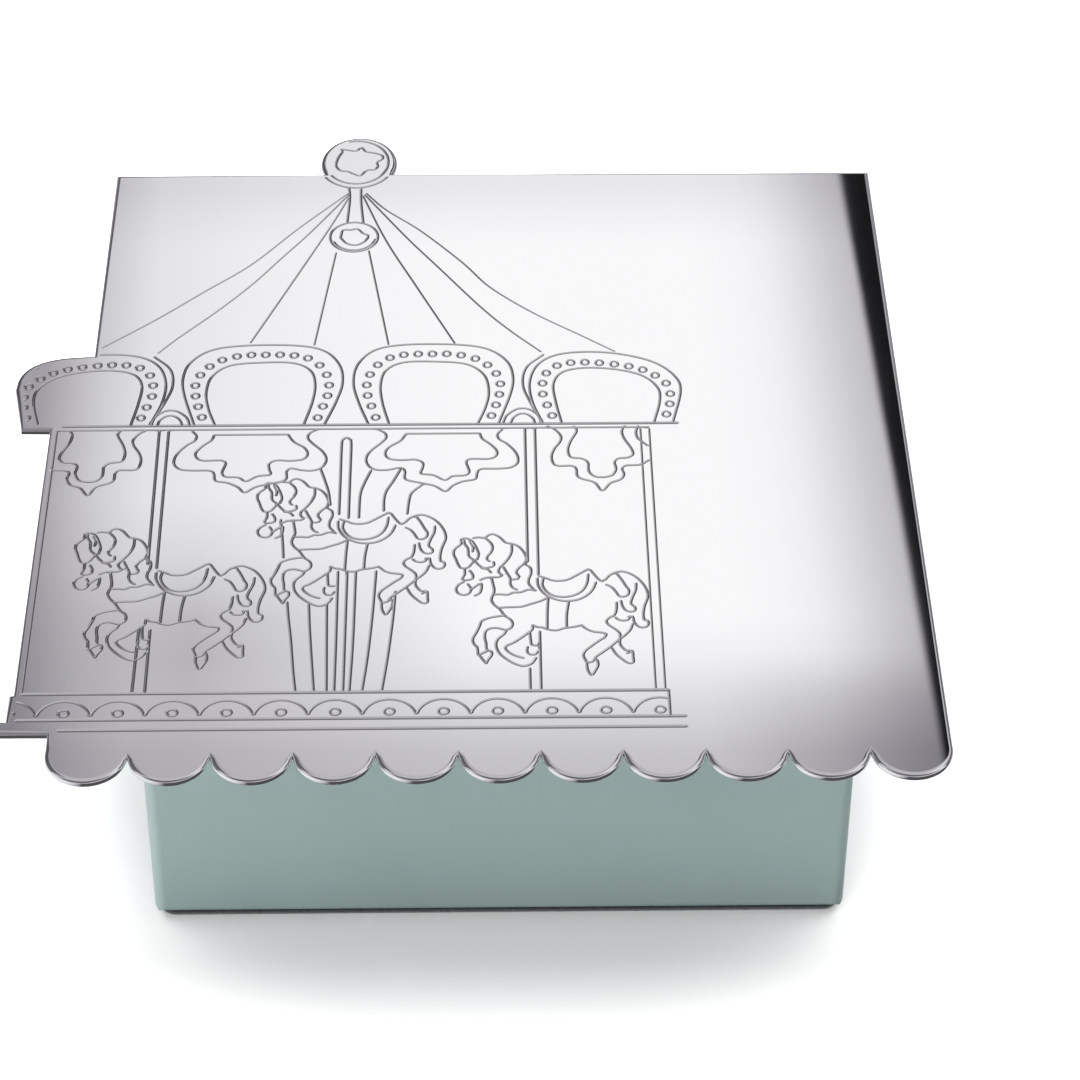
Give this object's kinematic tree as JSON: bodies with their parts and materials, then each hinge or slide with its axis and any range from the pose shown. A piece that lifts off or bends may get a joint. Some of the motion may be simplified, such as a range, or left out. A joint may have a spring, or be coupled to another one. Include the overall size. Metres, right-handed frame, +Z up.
{
  "type": "music box",
  "caption": "Lacquered wooden keepsake music box whose hinged lid is a silver plate with a carousel outline and scalloped front, key wound, with a pinned cylinder movement inside.",
  "frame": {"origin": "centre of the box's underside, on the surface it stands on", "axes": "+Z up, +X to the right seen from the front, scalloped front edge of the lid towards -Y"},
  "size_m": [0.1529, 0.1718, 0.0504],
  "materials": {
    "silver_plate": "polished silver plate",
    "lacquered_wood": "satin celadon lacquer",
    "plain_wood": "smooth, unlacquered",
    "felt": "felt",
    "lining": "flock",
    "clear_cover": "clear acrylic",
    "brass": "satin",
    "nickel": "nickel plated",
    "steel": "turned",
    "spring_steel": "tempered"
  },
  "bodies": {
    "case": {"base_felt": "felt", "base_board": "plain_wood", "base_screws": "brass", "floor_panel": "plain_wood", "front_wall": "lacquered_wood", "back_wall": "lacquered_wood", "left_wall": "lacquered_wood", "right_wall": "lacquered_wood", "divider_board": "plain_wood", "storage_lining": "lining", "cover_ledges": "plain_wood", "cover_plate": "clear_cover", "cover_screws": "brass", "left_hinge_box_leaf": "brass", "right_hinge_box_leaf": "brass", "left_hinge_pin": "brass", "right_hinge_pin": "brass", "hinge_box_screws": "brass", "bedplate": "nickel", "movement_screws": "nickel", "spring_case": "nickel", "case_screws": "nickel", "mainspring": "spring_steel", "left_bearing": "brass", "right_bearing": "brass", "bearing_screws": "nickel", "comb": "spring_steel", "comb_base": "nickel", "comb_screws": "nickel", "governor_bracket": "brass", "bracket_screws": "nickel", "stop_guide": "brass", "stop_spring": "spring_steel"},
    "lid": {"lid_board": "lacquered_wood", "lid_plate": "silver_plate", "lid_lining": "lining", "left_hinge_lid_leaf": "brass", "right_hinge_lid_leaf": "brass", "hinge_lid_screws": "brass"},
    "stop": {"stop_rod": "steel"},
    "winder": {"winding_arbor": "steel", "winding_key": "brass", "arbor_collar": "steel"},
    "drive": {"drive_wheel": "brass"},
    "drum": {"cylinder": "brass", "cylinder_arbor": "steel", "cylinder_pinion": "brass", "cylinder_wheel": "brass"},
    "train": {"train_arbor": "steel", "train_pinion": "steel", "worm_wheel": "brass"},
    "governor": {"worm": "steel", "governor_fan": "nickel"}
  },
  "joints": [
    {"name": "lid_hinge", "type": "hinge", "parent": "case", "child": "lid", "pos_m": [0, 0.06595, 0.041], "axis": [-1, 0, 0], "range_deg": [0, 95]},
    {"name": "stop_rise", "type": "slide", "parent": "case", "child": "stop", "axis": [0, 0, 1], "range_m": [0, 0.0022]},
    {"name": "key_wind", "type": "hinge", "parent": "case", "child": "winder", "pos_m": [-0.015, 0.0395, 0.013], "axis": [0, 0, 1], "continuous": true},
    {"name": "cylinder_turn", "type": "hinge", "parent": "case", "child": "drum", "pos_m": [0, 0.0395, 0.029], "axis": [1, 0, 0], "continuous": true},
    {"name": "drive_turn", "type": "hinge", "parent": "case", "child": "drive", "pos_m": [-0.015, 0.0395, 0.013], "axis": [0, 0, 1], "continuous": true},
    {"name": "train_turn", "type": "hinge", "parent": "case", "child": "train", "pos_m": [0, 0.0449, 0.02257], "axis": [1, 0, 0], "continuous": true},
    {"name": "governor_turn", "type": "hinge", "parent": "case", "child": "governor", "pos_m": [0.0228, 0.0501, 0.013], "axis": [0, 0, 1], "continuous": true}
  ],
  "couplings": [
    {"joint": "stop_rise", "follows": "lid_hinge", "m_per_rad": 0.0013267},
    {"joint": "drive_turn", "follows": "cylinder_turn", "ratio": 0.3},
    {"joint": "train_turn", "follows": "cylinder_turn", "ratio": -3},
    {"joint": "governor_turn", "follows": "cylinder_turn", "ratio": 60}
  ]
}
